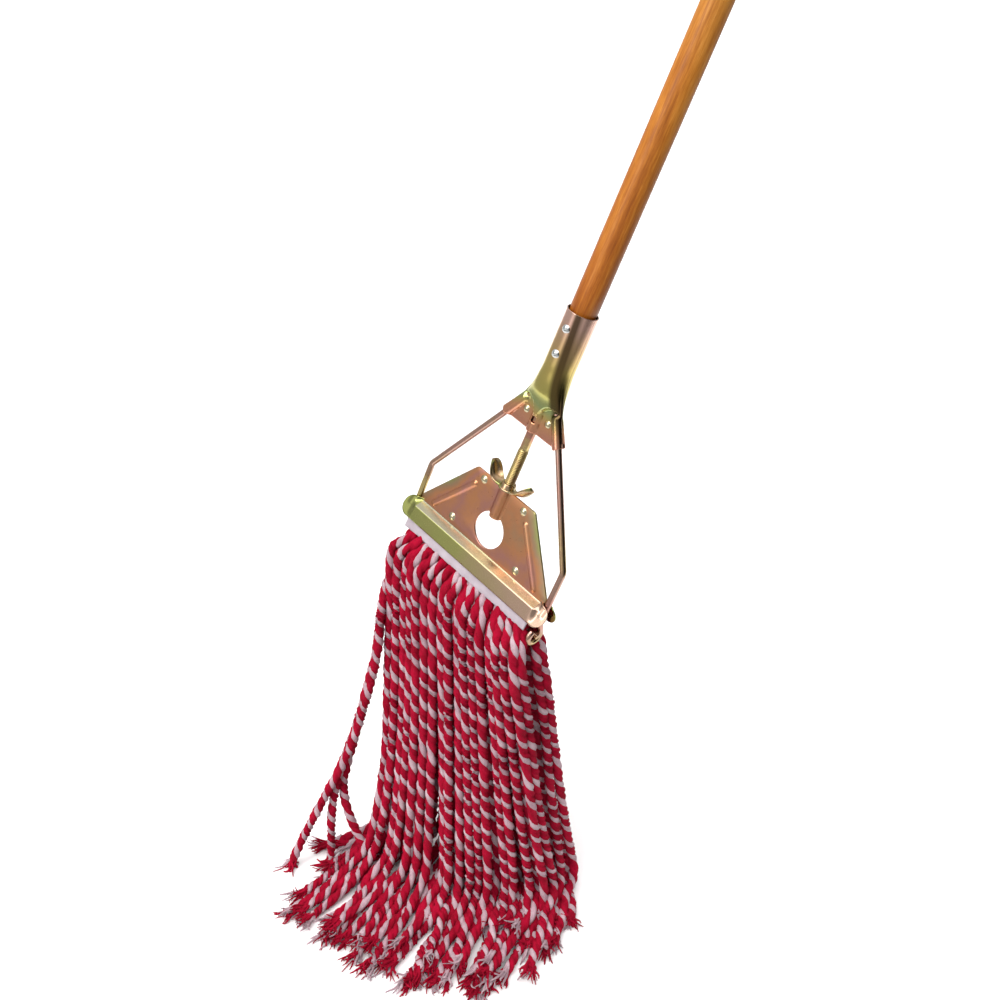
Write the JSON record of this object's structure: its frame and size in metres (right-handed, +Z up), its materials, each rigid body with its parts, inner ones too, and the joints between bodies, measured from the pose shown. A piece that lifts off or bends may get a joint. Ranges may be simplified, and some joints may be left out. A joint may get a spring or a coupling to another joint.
{
  "type": "string mop",
  "caption": "String mop: varnished wood handle in a stamped steel clamp head, with wing nut, jaw plate, wire bail and folded twisted-yarn mop head.",
  "frame": {"origin": "the grip: a point on the handle's axis, 150 mm below the handle's top", "axes": "+Z straight up, with the handle leaning 20.6 degrees from it towards +X; +X is to the right and +Y away from the viewer in the usual view of the mop's front"},
  "size_m": [0.72, 0.2327, 1.6971],
  "materials": {
    "varnished_wood": "clear-varnished light hardwood, satin, darker towards the socket",
    "yellow_zinc": "stamped steel, yellow zinc plate with a faint pink and green iridescence",
    "zinc_rivet": "bright domed rivets, yellow zinc plate",
    "screw_steel": "bright zinc plate",
    "zinc_wire": "drawn wire and cast nut, yellow zinc plate, semi-gloss",
    "white_tape": "woven tape with a slight pink cast",
    "cotton_yarn": "thick twisted yarn, crimson with one white ply"
  },
  "bodies": {
    "frame": {"handle": "varnished_wood", "socket_front_shell": "yellow_zinc", "socket_back_shell": "yellow_zinc", "socket_rivets": "zinc_rivet", "handle_screws": "screw_steel", "threaded_rod": "yellow_zinc", "left_bail_wire": "zinc_wire", "headband": "white_tape", "yarn_fold": "cotton_yarn", "yarn_front_left": "cotton_yarn", "yarn_front_middle": "cotton_yarn", "yarn_front_right": "cotton_yarn", "yarn_back_left": "cotton_yarn", "yarn_back_middle": "cotton_yarn", "yarn_back_right": "cotton_yarn"},
    "jaw_plate": {"clamp_plate_front": "yellow_zinc", "clamp_plate_back": "yellow_zinc", "plate_rivets": "zinc_rivet"},
    "nut": {"wing_nut": "zinc_wire"},
    "latch_wire": {"right_bail_wire": "zinc_wire"}
  },
  "joints": [
    {"name": "jaw_slide", "type": "slide", "parent": "frame", "child": "jaw_plate", "axis": [0.3518, 0, 0.9361], "range_m": [0, 0.028]},
    {"name": "nut_spin", "type": "hinge", "parent": "jaw_plate", "child": "nut", "pos_m": [-0.4113, 0, -1.09425], "axis": [0.3518, 0, 0.9361], "range_deg": [0, 6351]},
    {"name": "latch_spring", "type": "hinge", "parent": "frame", "child": "latch_wire", "pos_m": [-0.37123, -0.01145, -1.02101], "axis": [-0.6538, -0.7157, 0.2457], "range_deg": [0, 3.2], "stiffness_Nm_per_rad": 20}
  ],
  "couplings": [
    {"joint": "nut_spin", "follows": "jaw_slide", "rad_per_m": 3957.9}
  ]
}
